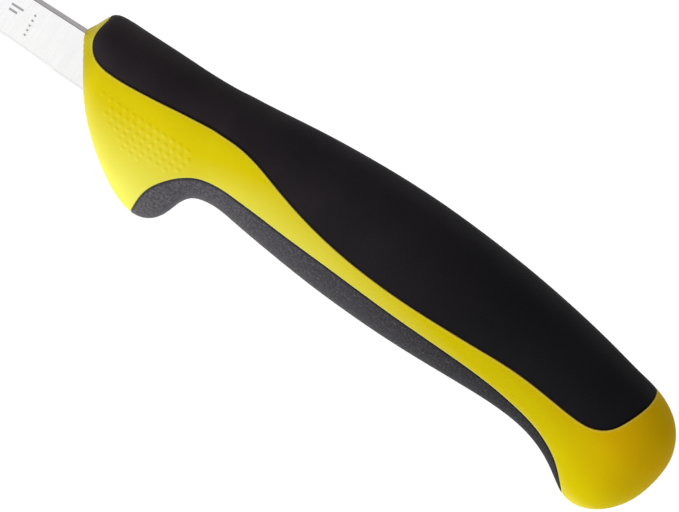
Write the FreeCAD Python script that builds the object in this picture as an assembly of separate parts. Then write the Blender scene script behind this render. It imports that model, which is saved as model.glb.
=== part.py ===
import FreeCAD, Part

import math
import os

# Boning knife: a narrow upswept blade with a hidden tang, moulded into a two-material handle.
# Frame: +X runs from the point towards the butt, +Z from the cutting edge towards the spine,
# and Y is across the blade. The origin is on the blade's centre plane, where the straight
# spine enters the handle. Lengths are in millimetres, and side-view points are (x, z).

# ---------------------------------------------------------------- blade dimensions
BLADE_LENGTH = 152.4          # point to the front of the handle
POINT = (-BLADE_LENGTH, 4.15)
BLADE_THICKNESS = 1.92        # across the ground flats
STOCK_THICKNESS = 2.00        # unground strip at the heel, and the tang
GRIND_STOP = -1.30            # where the ground flats end, just ahead of the handle
BEVEL_HEIGHT = 5.20           # primary grind, measured up from the edge shoulder
EDGE_HEIGHT = 0.42            # secondary bevel
EDGE_SHOULDER = 0.16          # half thickness at the top of the secondary bevel
EDGE_FLAT = 0.03              # half width left at the very edge
HEEL_FLAT = 0.42              # half width of the blunt heel's lower edge
HEEL_SHOULDER = HEEL_FLAT + 0.02
EDGE_START = -7.0             # the sharpened edge stops short of the handle
BLUNT_END = EDGE_START + 3.0  # x where the edge begins to sharpen, towards the point
SHARPENING_RUN = 6.0          # length over which it becomes fully sharp
CUTTER_OVERLAP = 0.6          # how far the grind cutters run past the blade's surfaces
CUTTER_REACH = 4.0            # outer face of the cutters, from the centre plane

TANG_END = 96.0
TANG_TOP = -1.7               # upper and lower edges where the tang leaves the shoulders
TANG_LOW = -8.4
TAPER_START = 20.0            # the tang narrows slightly between these two places
TAPER_END = TANG_END - 6.0
TAPER_TOP = 0.9               # fall of the upper edge over the taper
TAPER_LOW = 1.0               # rise of the lower edge over the taper
TANG_HOLE_R = 2.2             # the core flows through these holes and locks the tang
TANG_HOLES = [(20.0, -5.05), (47.0, -5.05), (78.0, -5.0)]
TANG_NOTCH_R = 1.3            # half-round keys on both edges of the tang
TANG_NOTCHES = [33.5, 62.5]
DRILL_LENGTH = 10.0

# Blade outline, from the handle to the point.
SPINE_PTS = [(-72.0, 0.0), (-92.0, 0.16), (-112.0, 0.78), (-128.0, 1.72), (-142.0, 2.95), POINT]
EDGE_PTS = [
    (8.0, -10.80), (-14.0, -10.30), (-36.0, -9.86), (-58.0, -9.42), (-80.0, -8.86),
    (-100.0, -7.86), (-118.0, -6.20), (-132.0, -3.98), (-143.0, -1.02), (-149.3, 1.90), POINT]
# Places along x where the ground outline meets the edge curve, between the heel and the point.
OUTLINE_STATIONS = [-14.0, -30.0, -46.0, -62.0, -78.0, -92.0, -104.0, -114.0, -123.0, -131.0,
                    -138.0, -144.0, -149.0]
# Sections of the grind cutters along x, close together where the edge sharpens.
GRIND_STATIONS = (
    [GRIND_STOP + 1.0, GRIND_STOP - 0.4]
    + [EDGE_START + 4.6 - 0.8 * k for k in range(13)]
    + [-14.0, -17.0, -22.0, -30.0, -40.0, -50.0, -60.0, -72.0, -84.0, -95.0, -105.0, -114.0,
       -122.0, -129.0, -135.0, -140.0, -144.5, -148.5, -BLADE_LENGTH, -155.0])

# ---------------------------------------------------------------- handle dimensions
HANDLE_FRONT = -0.11          # nose of the handle
HANDLE_BUTT = 137.18          # end of the butt
GRIP_DEPTH = 1.80             # how deep the soft grips are let into the core
NOSE_ROUND = 8.0              # length over which the nose rounds off, seen from above
BUTT_ROUND = 13.0             # and the butt
GRIP_REACH = 30.0             # half width of the cutters that mark out the grips

# Side outline of the handle: the back, then the belly, both from the nose to the butt.
BACK_PTS = [
    (HANDLE_FRONT, 0.15), (0.10, 0.42), (0.62, 1.18), (1.50, 2.90), (2.90, 5.10), (5.20, 5.56),
    (9.23, 5.60), (15.13, 5.66), (22.51, 5.64), (29.91, 5.92), (37.33, 6.54), (46.27, 7.62),
    (55.22, 8.36), (64.19, 8.71), (73.14, 8.62), (82.08, 8.08), (90.99, 7.22), (99.87, 6.03),
    (108.71, 4.48), (116.04, 2.92), (123.29, 1.19), (128.26, -0.05), (132.00, -1.80),
    (134.30, -3.75), (135.74, -5.80), (136.64, -7.85), (137.06, -9.70), (HANDLE_BUTT, -11.40)]
BELLY_PTS = [
    (HANDLE_FRONT, 0.15), (0.10, -0.62), (0.62, -1.72), (1.50, -3.30), (2.85, -5.75),
    (4.85, -9.25), (7.30, -13.00), (10.50, -16.90), (14.05, -20.25), (17.30, -22.75),
    (19.60, -24.22), (21.50, -25.22), (23.30, -25.92), (25.10, -26.28), (26.80, -26.16),
    (28.40, -25.48), (29.72, -24.28), (30.66, -22.78), (31.33, -21.05), (31.98, -19.05),
    (33.45, -16.75), (37.10, -15.62), (43.05, -16.22), (51.49, -17.42), (61.58, -18.50),
    (71.71, -19.10), (81.91, -19.24), (90.42, -19.02), (97.22, -18.80), (103.99, -18.86),
    (109.88, -19.62), (114.78, -21.32), (118.42, -23.45), (121.15, -25.52), (123.60, -27.05),
    (126.08, -27.55), (128.68, -27.00), (131.24, -25.55), (133.54, -23.25), (135.25, -20.55),
    (136.36, -17.45), (136.98, -14.35), (HANDLE_BUTT, -11.40)]
# (x, half width), before the ends are rounded off.
HALF_WIDTH = [
    (-5.0, 6.6), (0.0, 6.9), (6.0, 7.5), (14.0, 8.1), (24.0, 8.5), (34.0, 8.6), (44.0, 8.9),
    (56.0, 9.6), (68.0, 10.3), (80.0, 10.7), (92.0, 10.6), (104.0, 10.2), (114.0, 10.0),
    (122.0, 10.2), (130.0, 10.5), (137.0, 10.3), (145.0, 10.0)]
# (x, depth of the widest point below the back, as a share of the height).
WIDEST = [(-1.0, 0.36), (20.0, 0.33), (36.0, 0.46), (60.0, 0.47), (100.0, 0.46), (125.0, 0.46),
          (140.0, 0.50)]
# (x, fullness of the section above or below the widest point): 2 is an ellipse, more is squarer.
FULL_ABOVE = [(0.0, 2.35), (30.0, 2.30), (60.0, 2.30), (137.0, 2.30)]
FULL_BELOW = [(0.0, 2.20), (12.0, 2.50), (20.0, 2.80), (30.0, 2.70), (38.0, 2.30), (60.0, 2.35),
              (137.0, 2.30)]

# Edge of the upper grip: from the back near the nose, along the side, to the back near the butt.
UPPER_EDGE = [
    (2.80, 5.80), (2.48, 4.80), (2.16, 3.90), (2.04, 3.10), (2.10, 2.25), (2.42, 1.22),
    (3.15, 0.15), (4.15, -0.60), (5.50, -1.02), (7.40, -1.25), (10.20, -1.28), (13.50, -1.06),
    (18.00, -0.62), (22.50, -0.15), (27.00, 0.22), (31.50, 0.62), (35.00, 0.70), (38.27, 0.38),
    (42.00, -0.50), (46.00, -1.80), (51.74, -3.55), (57.50, -4.92), (63.50, -5.90),
    (70.00, -6.54), (77.00, -6.84), (85.00, -6.86), (93.00, -6.70), (99.00, -6.60),
    (104.50, -6.82), (110.30, -7.50), (115.00, -8.13), (118.20, -8.32), (120.50, -8.06),
    (122.20, -7.38), (123.60, -6.38), (124.80, -4.93), (125.80, -3.30), (126.70, -1.80),
    (127.50, -0.50), (128.35, 0.90)]
# Edge of the lower grip: from the belly at the guard to the belly near the butt.
LOWER_EDGE = [
    (24.95, -28.5), (24.96, -26.4), (24.98, -24.4), (25.03, -22.2), (25.20, -19.8),
    (25.62, -17.8), (26.40, -15.9), (27.60, -14.0), (29.40, -11.88), (31.75, -10.10),
    (34.40, -9.18), (37.40, -8.82), (41.00, -8.92), (46.00, -9.18), (52.50, -9.58),
    (61.00, -9.88), (70.00, -10.34), (79.50, -10.82), (88.50, -11.24), (95.50, -11.72),
    (101.50, -12.55), (106.50, -13.62), (111.20, -15.00), (115.20, -16.90), (118.50, -19.30),
    (121.00, -22.20), (122.80, -25.00), (123.70, -27.20), (124.20, -30.0)]
# Corners that close each grip's region outside the handle, from the edge's end to its start.
UPPER_CLOSING = [(128.9, 20.0), (3.4, 20.0)]
LOWER_CLOSING = [(LOWER_EDGE[-1][0], -45.0), (LOWER_EDGE[0][0], -45.0)]

# ---------------------------------------------------------------- skin resolution
N_AROUND = 44                 # section points used to build the skin
SKIN_STATIONS = 80            # sections from nose to butt
STATION_DENSITY = 0.46        # even share of the sections, per millimetre
END_WEIGHT = 2.2              # how strongly they crowd towards the two ends
# (weight, x, spread) of the extra crowding at the guard and near the butt.
CROWDING = [(3.2, 31.0, 4.2), (1.6, 124.0, 8.0)]
FIT_MOVES = 5                 # rounds of moving the poles onto the sections
FIT_GAIN = 0.9                # share of the remaining distance moved in each round
FIRST_V = -1.0                # where the first column of poles peaks, around the handle
OUTLINE_SAMPLES = 4001        # points on each dense side outline of the handle
EDGE_SAMPLES = 2000           # points on the dense edge curve of the blade
INSET_STEP = 0.25             # spacing along x of an inset outline's points


# ---------------------------------------------------------------- curve tools
def interval(values, x):
    """Index of the interval of rising values that holds x; the end intervals are open."""
    low, high = 0, len(values) - 1
    while high - low > 1:
        middle = (low + high) // 2
        if values[middle] > x:
            high = middle
        else:
            low = middle
    return low


def clamp(value, low, high):
    return min(max(value, low), high)


def on_lines(points, x):
    """Straight interpolation, carried on past the ends."""
    i = interval([p[0] for p in points], x)
    (x0, z0), (x1, z1) = points[i], points[i + 1]
    return z0 + (z1 - z0) * (x - x0) / (x1 - x0)


def lookup(points, x):
    """Straight interpolation, held constant past the ends."""
    return on_lines(points, clamp(x, points[0][0], points[-1][0]))


def natural_spline(knots, values):
    """The natural cubic spline through a table, as a function."""
    n = len(knots)
    diagonal, upper, right = [1.0] * n, [0.0] * n, [0.0] * n
    for i in range(1, n):
        before, after = knots[i] - knots[i - 1], 0.0
        if i == n - 1:
            break
        after = knots[i + 1] - knots[i]
        factor = before / diagonal[i - 1]
        upper[i] = after
        diagonal[i] = 2 * (before + after) - factor * upper[i - 1]
        right[i] = (6 * ((values[i + 1] - values[i]) / after
                         - (values[i] - values[i - 1]) / before) - factor * right[i - 1])
    second = [0.0] * n      # second derivatives at the knots
    for i in range(n - 2, -1, -1):
        second[i] = (right[i] - upper[i] * second[i + 1]) / diagonal[i]

    def value(t):
        i = interval(knots, t)
        span = knots[i + 1] - knots[i]
        a, b = (knots[i + 1] - t) / span, (t - knots[i]) / span
        bend = (a ** 3 - a) * second[i] + (b ** 3 - b) * second[i + 1]
        return a * values[i] + b * values[i + 1] + bend * span * span / 6

    return value


def curve_points(points, n):
    """n points along a smooth curve through points, parametrised by chord length."""
    knots = [0.0]
    for p, q in zip(points, points[1:]):
        knots.append(knots[-1] + math.hypot(q[0] - p[0], q[1] - p[1]))
    x_at = natural_spline(knots, [p[0] for p in points])
    z_at = natural_spline(knots, [p[1] for p in points])
    return [(x_at(t), z_at(t)) for t in (knots[-1] * k / (n - 1) for k in range(n))]


def monotone(points):
    """A shape-preserving cubic through a table, as a function."""
    xs, ys = [p[0] for p in points], [p[1] for p in points]
    n = len(xs)
    spans = [xs[i + 1] - xs[i] for i in range(n - 1)]
    chords = [(ys[i + 1] - ys[i]) / spans[i] for i in range(n - 1)]
    slopes = [chords[0]] + [0.0] * (n - 2) + [chords[-1]]
    for i in range(1, n - 1):
        if chords[i - 1] * chords[i] > 0:
            w1 = 2 * spans[i] + spans[i - 1]
            w2 = spans[i] + 2 * spans[i - 1]
            slopes[i] = (w1 + w2) / (w1 / chords[i - 1] + w2 / chords[i])

    def value(x):
        x = clamp(x, xs[0], xs[-1])
        i = interval(xs, x)
        t = (x - xs[i]) / spans[i]
        return ((2 * t ** 3 - 3 * t * t + 1) * ys[i]
                + (t ** 3 - 2 * t * t + t) * spans[i] * slopes[i]
                + (3 * t * t - 2 * t ** 3) * ys[i + 1]
                + (t ** 3 - t * t) * spans[i] * slopes[i + 1])

    return value


# ---------------------------------------------------------------- flat shapes in side view
def smooth_edge(points):
    curve = Part.BSplineCurve()
    curve.interpolate([FreeCAD.Vector(x, 0, z) for x, z in points])
    return curve.toShape()


def straight_edges(points):
    """Straight edges joining the points in turn."""
    corners = [FreeCAD.Vector(x, 0, z) for x, z in points]
    return [Part.LineSegment(p, q).toShape() for p, q in zip(corners, corners[1:])]


def slab(edges, thickness):
    """The region inside the edges, thickened evenly about the centre plane."""
    face = Part.Face(Part.Wire(edges))
    face.translate(FreeCAD.Vector(0, -thickness / 2, 0))
    return face.extrude(FreeCAD.Vector(0, thickness, 0))


# ---------------------------------------------------------------- the handle's skin
def dense_outline(points):
    """A smooth outline as many points, with x always rising."""
    dense = curve_points(points, OUTLINE_SAMPLES)
    rising = [dense[0]]
    for p in dense[1:]:
        if p[0] > rising[-1][0] + 1e-7:
            rising.append(p)
    return rising


def inset_outline(outline, depth, side):
    """The outline moved inwards by depth. side is +1 for the back and -1 for the belly."""
    inset = []
    points = outline[::4]
    x = HANDLE_FRONT + depth
    while x <= HANDLE_BUTT - depth + 1e-9:
        heights = [pz - side * math.sqrt(depth * depth - (x - px) ** 2)
                   for px, pz in points if abs(x - px) < depth]
        inset.append((x, min(heights) if side > 0 else max(heights)))
        x += INSET_STEP
    return inset


def rounding(distance, length):
    """Share of the full width at a distance from a rounded end."""
    t = clamp(distance / length, 0.0, 1.0)
    return math.sqrt(max(0.0, 1 - (1 - t) ** 2))


half_width = monotone(HALF_WIDTH)


def width(x, inset):
    nose = rounding(x - (HANDLE_FRONT + inset), NOSE_ROUND - inset)
    butt = rounding((HANDLE_BUTT - inset) - x, BUTT_ROUND - inset)
    return (half_width(x) - inset) * nose * butt


def signed_power(value, exponent):
    return math.copysign(abs(value) ** exponent, value) if abs(value) > 1e-9 else 0.0


def section(x, back, belly, inset):
    """Closed ring of points around the handle at x, from the back round by way of -Y."""
    top, bottom = lookup(back, x), lookup(belly, x)
    half = width(x, inset)
    middle = top + (bottom - top) * lookup(WIDEST, x)
    above = (top - middle, lookup(FULL_ABOVE, x))
    below = (middle - bottom, lookup(FULL_BELOW, x))
    ring = []
    for k in range(N_AROUND):
        angle = 2 * math.pi * k / N_AROUND
        cosine, sine = math.cos(angle), math.sin(angle)
        height, fullness = above if cosine >= 0 else below
        ring.append((x, -half * signed_power(sine, 2 / fullness),
                     middle + height * signed_power(cosine, 2 / fullness)))
    return ring


def stations(front, butt, at):
    """Section positions for the spline parameters in at. Near the nose and the butt they
    follow a square law, which is what makes a rounded end smooth."""
    def count(x):
        ends = math.sqrt(max(0.0, x - front)) - math.sqrt(max(0.0, butt - x))
        crowd = sum(weight * math.erf((x - place) / spread) for weight, place, spread in CROWDING)
        return STATION_DENSITY * (x - front) + END_WEIGHT * ends + crowd

    first, last = count(front), count(butt)
    places = []
    for u in at:
        wanted = first + (last - first) * u / at[-1]
        low, high = front, butt
        for _ in range(60):
            middle = (low + high) / 2
            if count(middle) < wanted:
                low = middle
            else:
                high = middle
        places.append((low + high) / 2)
    return places


def skin_surface(poles, front, butt):
    """Cubic surface, closed around the handle."""
    # The rings next to the end poles lie in the end planes, so that the ends are smooth.
    poles[1] = [(front, y, z) for _, y, z in poles[1]]
    poles[-2] = [(butt, y, z) for _, y, z in poles[-2]]
    n = len(poles)
    surface = Part.BSplineSurface()
    surface.buildFromPolesMultsKnots(
        [[FreeCAD.Vector(*p) for p in ring] for ring in poles],
        [4] + [1] * (n - 4) + [4], [1] * (N_AROUND + 1),
        list(range(n - 2)), list(range(N_AROUND + 1)), False, True, 3, 3)
    return surface


def skin(back, belly, inset=0.0):
    """A closed smooth solid through the sections, with a pole at each end."""
    front, butt = HANDLE_FRONT + inset, HANDLE_BUTT - inset
    # The section with index i is reached at the mean of the three knots that follow it.
    n = SKIN_STATIONS
    knots = [0.0] * 4 + [float(i) for i in range(1, n - 3)] + [float(n - 3)] * 4
    at = [(knots[i + 1] + knots[i + 2] + knots[i + 3]) / 3 for i in range(n)]

    def end_ring(x):
        return [(x, 0.0, (lookup(back, x) + lookup(belly, x)) / 2)] * N_AROUND

    target = ([end_ring(front)]
              + [section(x, back, belly, inset) for x in stations(front, butt, at)[1:-1]]
              + [end_ring(butt)])

    # The poles are moved until the surface itself passes through the sections.
    poles = [list(ring) for ring in target]
    for _ in range(FIT_MOVES):
        surface = skin_surface(poles, front, butt)
        for i in range(1, n - 1):
            for j in range(N_AROUND):
                reached = surface.value(at[i], (j + FIRST_V) % N_AROUND)
                poles[i][j] = tuple(pole + FIT_GAIN * (wanted - got) for pole, wanted, got
                                    in zip(poles[i][j], target[i][j], reached))
    solid = Part.Solid(Part.Shell([skin_surface(poles, front, butt).toShape()]))
    # Guards against a shell whose face points inwards.
    if solid.Volume < 0:
        solid.reverse()
    return solid


# ---------------------------------------------------------------- the blade
EDGE = curve_points(EDGE_PTS, EDGE_SAMPLES)[::-1]


def edge_z(x):
    return on_lines(EDGE, x)


def grind_cutter(side):
    """What is ground off one side: the primary bevel, and the secondary bevel at the edge."""
    half = BLADE_THICKNESS / 2
    wires = []
    for x in GRIND_STATIONS:
        z = edge_z(x)
        sharp = clamp((BLUNT_END - x) / SHARPENING_RUN, 0.0, 1.0)
        blunt = 1 - sharp * sharp * (3 - 2 * sharp)
        flat = EDGE_FLAT + (HEEL_FLAT - EDGE_FLAT) * blunt
        shoulder = EDGE_SHOULDER + (HEEL_SHOULDER - EDGE_SHOULDER) * blunt
        edge_slope = (shoulder - flat) / EDGE_HEIGHT
        bevel_slope = (half - shoulder) / BEVEL_HEIGHT
        bottom = z - CUTTER_OVERLAP
        top = z + EDGE_HEIGHT + BEVEL_HEIGHT + CUTTER_OVERLAP / bevel_slope
        profile = [(flat - edge_slope * CUTTER_OVERLAP, bottom), (shoulder, z + EDGE_HEIGHT),
                   (half + CUTTER_OVERLAP, top), (CUTTER_REACH, top), (CUTTER_REACH, bottom)]
        ring = [FreeCAD.Vector(x, side * across, height) for across, height in profile]
        wires.append(Part.makePolygon(ring + [ring[0]]))
    return Part.makeLoft(wires, True, False)


def ground_blade():
    """The ground part of the blade, from the grind stop to the point."""
    start = (GRIND_STOP, edge_z(GRIND_STOP))
    edge = [start] + [(x, edge_z(x)) for x in OUTLINE_STATIONS] + [POINT]
    ground = slab([smooth_edge(edge)]
                  + straight_edges([start, (GRIND_STOP, 0.0), SPINE_PTS[0]])
                  + [smooth_edge(SPINE_PTS)], BLADE_THICKNESS)
    for side in (-1, 1):
        ground = ground.cut(grind_cutter(side))
    return ground


def drill(radius, x, z):
    return Part.makeCylinder(radius, DRILL_LENGTH, FreeCAD.Vector(x, -DRILL_LENGTH / 2, z),
                             FreeCAD.Vector(0, 1, 0))


def heel_and_tang():
    """The unground heel and the tang, in one outline, with the holes and notches."""
    top, low = TANG_TOP, TANG_LOW
    outline = [
        (GRIND_STOP, 0.0), (6.4, 0.0), (8.2, top), (TAPER_START, top),
        (TAPER_END, top - TAPER_TOP), (TANG_END - 1.2, top - 1.4), (TANG_END, top - 2.6),
        (TANG_END, low + 2.5), (TANG_END - 1.2, low + 1.3), (TAPER_END, low + TAPER_LOW),
        (TAPER_START, low), (8.6, low), (6.6, -10.0), (6.0, edge_z(6.0)),
        (GRIND_STOP, edge_z(GRIND_STOP))]
    tang = slab(straight_edges(outline + outline[:1]), STOCK_THICKNESS)
    for x, z in TANG_HOLES:
        tang = tang.cut(drill(TANG_HOLE_R, x, z))
    for x in TANG_NOTCHES:
        share = (x - TAPER_START) / (TAPER_END - TAPER_START)
        for z in (low + share * TAPER_LOW, top - share * TAPER_TOP):
            tang = tang.cut(drill(TANG_NOTCH_R, x, z))
    return tang


# ---------------------------------------------------------------- the grips
def grip_cutter(edge, closing, inner):
    """A side-view region run right across the handle, outside the inner skin."""
    edges = [smooth_edge(edge)] + straight_edges([edge[-1]] + closing + [edge[0]])
    return slab(edges, 2 * GRIP_REACH).cut(inner)


# ---------------------------------------------------------------- build
def export(shape, name):
    """Writes the solids of a piece, without slivers of 1 cubic millimetre or less."""
    solids = [s for s in sorted(shape.Solids, key=lambda s: -s.Volume) if s.Volume > 1.0]
    piece = solids[0] if len(solids) == 1 else Part.makeCompound(solids)
    piece.exportStep("parts/" + name + ".step")


os.makedirs("parts", exist_ok=True)

back_outline = dense_outline(BACK_PTS)
belly_outline = dense_outline(BELLY_PTS)
outer_skin = skin(back_outline, belly_outline)
inner_skin = skin(inset_outline(back_outline, GRIP_DEPTH, +1),
                  inset_outline(belly_outline, GRIP_DEPTH, -1), GRIP_DEPTH)
upper_cutter = grip_cutter(UPPER_EDGE, UPPER_CLOSING, inner_skin)
lower_cutter = grip_cutter(LOWER_EDGE, LOWER_CLOSING, inner_skin)
blade = ground_blade().fuse(heel_and_tang())

export(blade, "blade_and_tang")
export(outer_skin.cut(upper_cutter).cut(lower_cutter).cut(blade), "handle_core")
export(outer_skin.common(upper_cutter), "upper_grip")
export(outer_skin.common(lower_cutter), "lower_grip")
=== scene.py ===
"""Boning knife: a steel blade with a hidden tang, in a yellow handle core with two rubber grips.

+X runs towards the butt, +Z towards the spine, and Y across the blade. The handle starts near
x = 0 and the tip is at x = -152.4. Shapes are in millimetres and become metres when each mesh is
finished. Materials, lights and the floor are in metres.
"""

import math

import bpy
import numpy as np
from mathutils import Matrix, Vector
from mathutils.geometry import delaunay_2d_cdt


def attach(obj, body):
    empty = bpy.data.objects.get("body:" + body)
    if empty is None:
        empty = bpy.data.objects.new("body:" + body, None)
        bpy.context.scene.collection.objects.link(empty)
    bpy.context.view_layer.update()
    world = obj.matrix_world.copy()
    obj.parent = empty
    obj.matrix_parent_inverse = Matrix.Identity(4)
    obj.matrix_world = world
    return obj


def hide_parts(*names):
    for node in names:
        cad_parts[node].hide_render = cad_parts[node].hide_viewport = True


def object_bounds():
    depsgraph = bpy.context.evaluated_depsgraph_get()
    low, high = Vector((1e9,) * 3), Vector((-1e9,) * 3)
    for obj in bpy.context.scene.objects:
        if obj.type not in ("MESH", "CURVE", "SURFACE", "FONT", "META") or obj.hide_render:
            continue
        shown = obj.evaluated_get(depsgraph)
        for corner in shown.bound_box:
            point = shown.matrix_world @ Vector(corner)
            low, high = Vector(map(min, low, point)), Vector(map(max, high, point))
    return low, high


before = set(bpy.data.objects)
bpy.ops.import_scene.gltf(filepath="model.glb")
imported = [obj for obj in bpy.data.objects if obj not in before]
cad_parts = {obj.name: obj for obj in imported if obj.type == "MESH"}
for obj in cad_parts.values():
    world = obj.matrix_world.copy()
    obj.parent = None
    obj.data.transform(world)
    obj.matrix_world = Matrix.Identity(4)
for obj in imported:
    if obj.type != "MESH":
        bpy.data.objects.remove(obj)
CAD_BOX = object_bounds()
MM = 0.001

# ------------------------------------------------------------------ handle dimensions
HANDLE_FRONT, HANDLE_BUTT = -0.11, 137.18
# Side outlines, (x, z) from front to butt.
BACK_PTS = [
    (-0.11, 0.15), (0.1, 0.42), (0.62, 1.18), (1.5, 2.9), (2.9, 5.1), (5.2, 5.56), (9.23, 5.6),
    (15.13, 5.66), (22.51, 5.64), (29.91, 5.92), (37.33, 6.54), (46.27, 7.62), (55.22, 8.36),
    (64.19, 8.71), (73.14, 8.62), (82.08, 8.08), (90.99, 7.22), (99.87, 6.03), (108.71, 4.48),
    (116.04, 2.92), (123.29, 1.19), (128.26, -0.05), (132.0, -1.8), (134.3, -3.75),
    (135.74, -5.8), (136.64, -7.85), (137.06, -9.7), (137.18, -11.4)]
BELLY_PTS = [
    (-0.11, 0.15), (0.1, -0.62), (0.62, -1.72), (1.5, -3.3), (2.85, -5.75), (4.85, -9.25),
    (7.3, -13.0), (10.5, -16.9), (14.05, -20.25), (17.3, -22.75), (19.6, -24.22), (21.5, -25.22),
    (23.3, -25.92), (25.1, -26.28), (26.8, -26.16), (28.4, -25.48), (29.72, -24.28),
    (30.66, -22.78), (31.33, -21.05), (31.98, -19.05), (33.45, -16.75), (37.1, -15.62),
    (43.05, -16.22), (51.49, -17.42), (61.58, -18.5), (71.71, -19.1), (81.91, -19.24),
    (90.42, -19.02), (97.22, -18.8), (103.99, -18.86), (109.88, -19.62), (114.78, -21.32),
    (118.42, -23.45), (121.15, -25.52), (123.6, -27.05), (126.08, -27.55), (128.68, -27.0),
    (131.24, -25.55), (133.54, -23.25), (135.25, -20.55), (136.36, -17.45), (136.98, -14.35),
    (137.18, -11.4)]
# (x, half width across Y), before the rounding of the nose and the butt in plan.
HALF_WIDTH = [
    (-5.0, 6.6), (0.0, 6.9), (6.0, 7.5), (14.0, 8.1), (24.0, 8.5), (34.0, 8.6), (44.0, 8.9),
    (56.0, 9.6), (68.0, 10.3), (80.0, 10.7), (92.0, 10.6), (104.0, 10.2), (114.0, 10.0),
    (122.0, 10.2), (130.0, 10.5), (137.0, 10.3), (145.0, 10.0)]
NOSE_ROUND, BUTT_ROUND = 8.0, 13.0
# (x, share of the height from back to belly where the section is widest).
WIDEST = [(-1, 0.36), (20, 0.33), (36, 0.46), (60, 0.47), (100, 0.46), (125, 0.46), (140, 0.5)]
# (x, superellipse exponent) above and below the widest level.
FULL_ABOVE = [(0, 2.35), (30, 2.3), (60, 2.3), (137, 2.3)]
FULL_BELOW = [(0, 2.2), (12, 2.5), (20, 2.8), (30, 2.7), (38, 2.3), (60, 2.35), (137, 2.3)]
# Edges of the upper and lower grips in side view, (x, z). Their ends lie outside the handle.
UPPER_EDGE = [
    (2.8, 5.8), (2.48, 4.8), (2.16, 3.9), (2.04, 3.1), (2.1, 2.25), (2.42, 1.22), (3.15, 0.15),
    (4.15, -0.6), (5.5, -1.02), (7.4, -1.25), (10.2, -1.28), (13.5, -1.06), (18.0, -0.62),
    (22.5, -0.15), (27.0, 0.22), (31.5, 0.62), (35.0, 0.7), (38.27, 0.38), (42.0, -0.5),
    (46.0, -1.8), (51.74, -3.55), (57.5, -4.92), (63.5, -5.9), (70.0, -6.54), (77.0, -6.84),
    (85.0, -6.86), (93.0, -6.7), (99.0, -6.6), (104.5, -6.82), (110.3, -7.5), (115.0, -8.13),
    (118.2, -8.32), (120.5, -8.06), (122.2, -7.38), (123.6, -6.38), (124.8, -4.93),
    (125.8, -3.3), (126.7, -1.8), (127.5, -0.5), (128.35, 0.9)]
LOWER_EDGE = [
    (24.95, -28.5), (24.96, -26.4), (24.98, -24.4), (25.03, -22.2), (25.2, -19.8),
    (25.62, -17.8), (26.4, -15.9), (27.6, -14.0), (29.4, -11.88), (31.75, -10.1), (34.4, -9.18),
    (37.4, -8.82), (41.0, -8.92), (46.0, -9.18), (52.5, -9.58), (61.0, -9.88), (70.0, -10.34),
    (79.5, -10.82), (88.5, -11.24), (95.5, -11.72), (101.5, -12.55), (106.5, -13.62),
    (111.2, -15.0), (115.2, -16.9), (118.5, -19.3), (121.0, -22.2), (122.8, -25.0),
    (123.7, -27.2), (124.2, -30.0)]
GAP = 0.012                  # half the gap between a grip and the core
GRIP_ROUND, CORE_ROUND = 0.30, 0.20          # rounding of their edges along the seam
GRIP_DEPTH, BED_CLEARANCE = 1.60, 0.02       # how deep the grips are let in, and play beneath
SEAM_LOOPS = [(0.42, 0.45), (0.70, 0.0), (1.05, 0.0)]    # (distance from the seam, rim value)
BORDER_PITCH, SKIN_PITCH, CENTRE_PITCH = 0.34, 0.72, 0.6
# Low round dots on the core's sides: rows of (first x, z, number of dots).
DOT_RADIUS, DOT_HEIGHT, DOT_STEP = 0.74, 0.105, 1.74
DOT_ROWS = [(9.3, -5.5, 12), (12.1, -7.15, 11), (11.65, -8.72, 11), (13.1, -10.18, 10),
            (16.15, -11.55, 7), (17.6, -12.8, 3)]
DOT_RINGS = [(0.0, 1), (0.22, 6), (0.42, 9), (0.62, 12), (0.82, 14), (1.0, 16)]  # (share, points)
END_RINGS = (0.18, 0.4, 0.75, 1.15, 1.6, 2.1, 2.65)      # distances from the nose and the butt

# ------------------------------------------------------------------ blade and tang dimensions
# Side outlines, (x, z), meeting at the tip.
SPINE_PTS = [(-72.0, 0.0), (-92.0, 0.16), (-112.0, 0.78), (-128.0, 1.72), (-142.0, 2.95),
             (-152.4, 4.15)]
EDGE_PTS = [(8.0, -10.8), (-14.0, -10.3), (-36.0, -9.86), (-58.0, -9.42), (-80.0, -8.86),
            (-100.0, -7.86), (-118.0, -6.2), (-132.0, -3.98), (-143.0, -1.02), (-149.3, 1.9),
            (-152.4, 4.15)]
TIP_X, TIP_Z = EDGE_PTS[-1]
TIP_STEPS = (0.06, 0.16, 0.3, 0.5, 0.8, 1.2, 1.7, 2.3, 3.0, 3.8, 4.8, 6.0, 7.3, 8.7)
TANG_HALF, GROUND_HALF = 1.00, 0.96          # half thickness of the tang and of the blade's flats
EDGE_HALF, SHOULDER_HALF = (0.03, 0.42), (0.16, 0.44)    # half thickness (sharp, unground)
BEVEL_HEIGHT, GRIND_HEIGHT = 0.42, 5.2
RIM_ROUND = 0.12             # rounding of the plate's edges and of the slot's
ARC_STEPS, FLAT_STEPS = 3, 3                 # steps round that, and on to the centre plane
JOIN_X = 5.0                 # where the blade's rows end and the tang plate begins
TANG_END, TANG_TOP, TANG_LOW = 96.0, -1.7, -8.4
HOLE_RADIUS, HOLES = 2.2, [(20.0, -5.05), (47.0, -5.05), (78.0, -5.0)]    # (x, z)
NOTCH_RADIUS, NOTCH_XS = 1.3, [33.5, 62.5]
SLOT_CLEARANCE = 0.02        # between the tang and the slot in the core
SLOT_LIP = 0.07              # rounding of the slot's mouth


# ------------------------------------------------------------------ curves
def unit(vectors):
    return vectors / np.maximum(np.linalg.norm(vectors, axis=-1, keepdims=True), 1e-12)


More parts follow.
